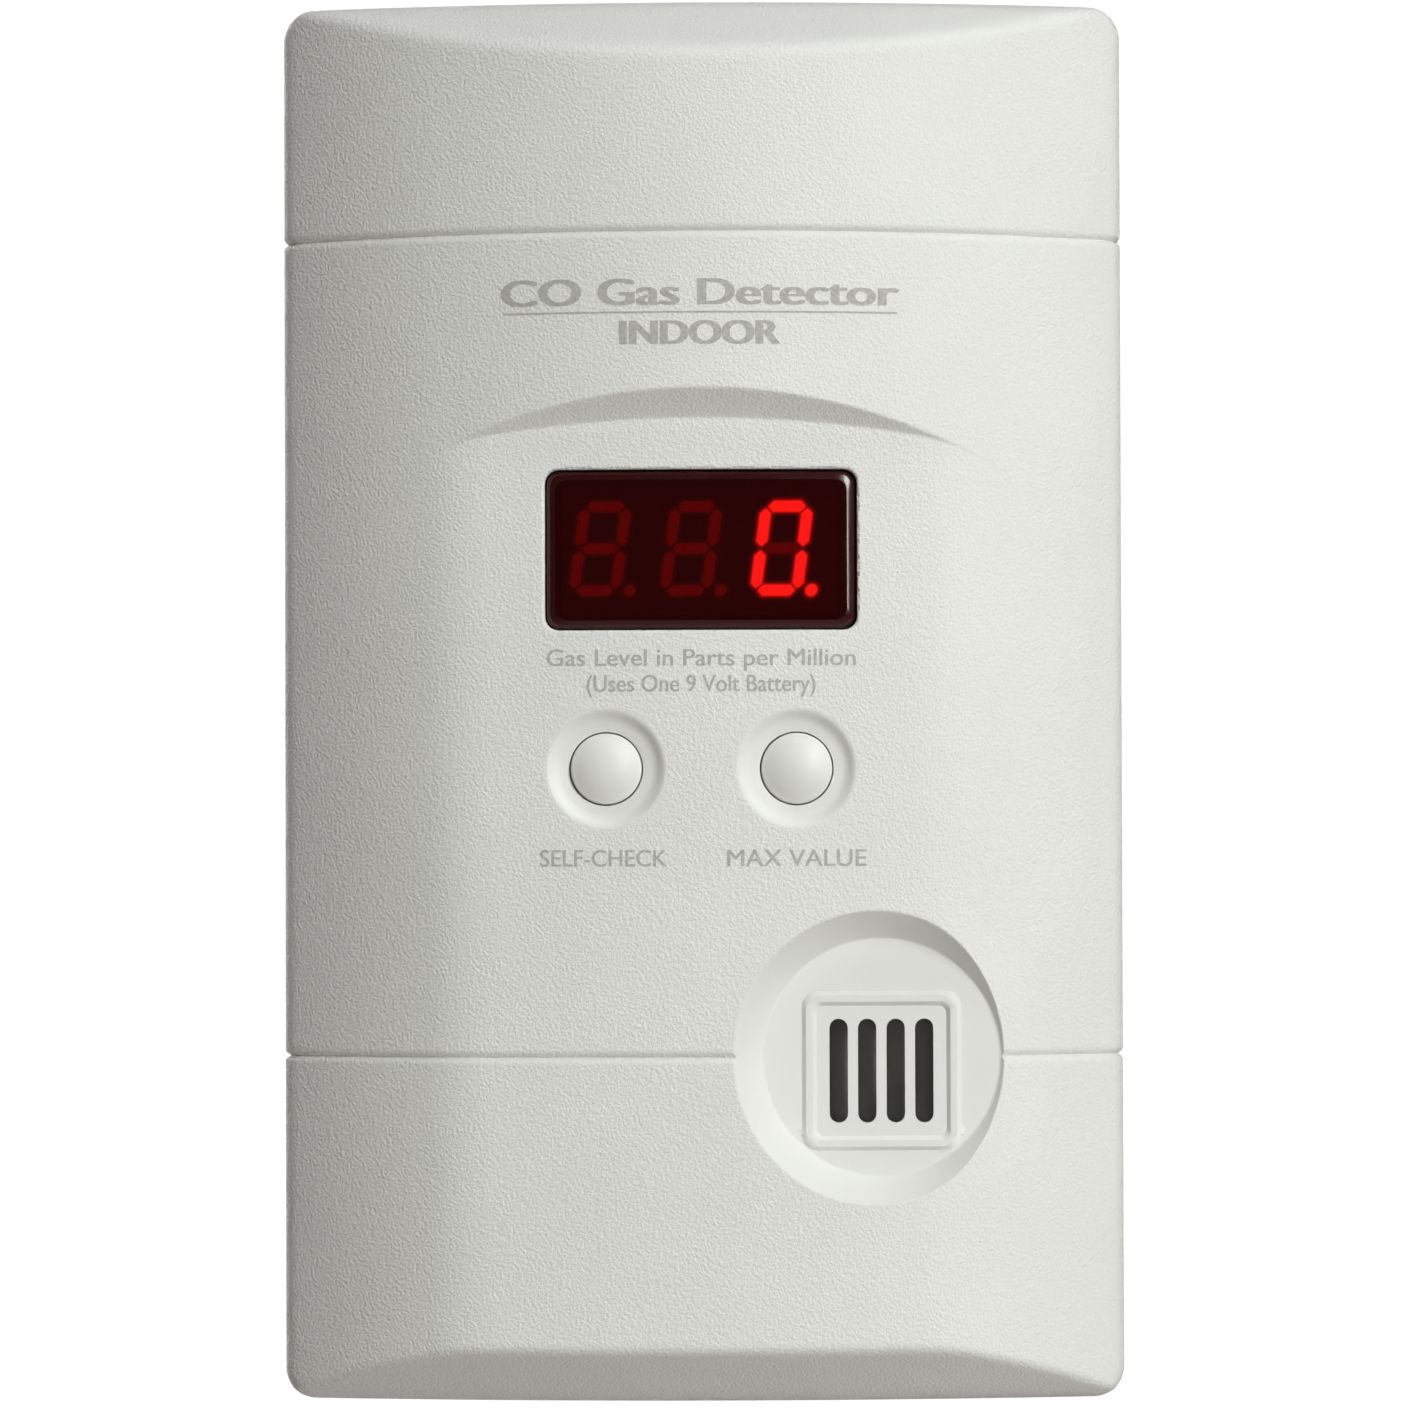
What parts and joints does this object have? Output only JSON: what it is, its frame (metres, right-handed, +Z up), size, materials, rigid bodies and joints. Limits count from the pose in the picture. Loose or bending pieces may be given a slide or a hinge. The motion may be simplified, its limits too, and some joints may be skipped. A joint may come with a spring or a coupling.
{
  "type": "carbon monoxide detector",
  "caption": "Plug-in carbon monoxide alarm with bowed face, red digital display, two buttons, horn grille, turning plug adapter and battery door.",
  "frame": {"origin": "middle of the flat wall side, on the wall plane", "axes": "+Z up, +Y into the wall, the face looks along -Y, +X to the right seen from the front"},
  "size_m": [0.092, 0.0605, 0.1524],
  "materials": {
    "shell": "warm white moulded plastic, fine spark texture",
    "button": "warm white, polished",
    "lens": "smoked dark red, polished",
    "black_plastic": "black moulded plastic",
    "module": "dark potting face of the display",
    "segment_lit": "red segments that are lit",
    "segment_dark": "red segments that are off",
    "plunger": "brown switch plunger",
    "circuit_board": "green solder mask",
    "tinned": "tinned wire",
    "screw": "zinc-plated steel",
    "ceramic_disc": "brass-backed piezo disc",
    "sensor_metal": "drawn steel can",
    "filter": "white filter cap",
    "gold": "gold-plated pins",
    "chip": "black moulding compound",
    "sleeve": "dark blue shrink sleeve",
    "lead": "insulated wire",
    "blade": "nickel-washed brass",
    "lamination": "stacked steel laminations",
    "winding": "taped copper winding",
    "battery_jacket": "plain dark printed jacket",
    "snap": "nickel-plated snap",
    "contact": "spring contact",
    "label": "blank silver-grey label"
  },
  "bodies": {
    "housing": {"front_cover": "shell", "back_cover": "shell", "display_lens": "lens", "display_holder": "black_plastic", "display_module": "module", "dark_segments": "segment_dark", "lit_segments": "segment_lit", "display_pins": "tinned", "test_switch": "black_plastic", "peak_switch": "black_plastic", "main_board": "circuit_board", "board_screws": "screw", "cover_screws": "screw", "horn_case": "black_plastic", "piezo_disc": "ceramic_disc", "horn_pins": "tinned", "sensor_can": "sensor_metal", "sensor_cap": "filter", "sensor_pins": "gold", "microcontroller": "chip", "chip_legs": "tinned", "capacitors": "sleeve", "power_leads": "lead", "battery_case": "battery_jacket", "battery_terminals": "snap", "battery_contacts": "contact", "rating_label": "label"},
    "test_key": {"test_button": "button", "test_plunger": "plunger"},
    "peak_key": {"peak_button": "button", "peak_plunger": "plunger"},
    "door": {"battery_door": "shell"},
    "plug_adapter": {"adapter_case": "shell", "adapter_cover": "shell", "adapter_clip": "screw", "live_blade": "blade", "neutral_blade": "blade", "transformer_core": "lamination", "transformer_coil": "winding"}
  },
  "joints": [
    {"name": "test_button_press", "type": "slide", "parent": "housing", "child": "test_key", "axis": [0, 1, 0], "range_m": [0, 0.0006], "stiffness_N_per_m": 2000, "springref_m": -0.0005},
    {"name": "peak_button_press", "type": "slide", "parent": "housing", "child": "peak_key", "axis": [0, 1, 0], "range_m": [0, 0.0006], "stiffness_N_per_m": 2000, "springref_m": -0.0005},
    {"name": "battery_door_hinge", "type": "hinge", "parent": "housing", "child": "door", "pos_m": [0, -0.0013, -0.0473], "axis": [-1, 0, 0], "range_deg": [0, 100]},
    {"name": "plug_adapter_turn", "type": "hinge", "parent": "housing", "child": "plug_adapter", "pos_m": [0, 0, 0.034], "axis": [0, 1, 0], "range_deg": [0, 90]}
  ]
}
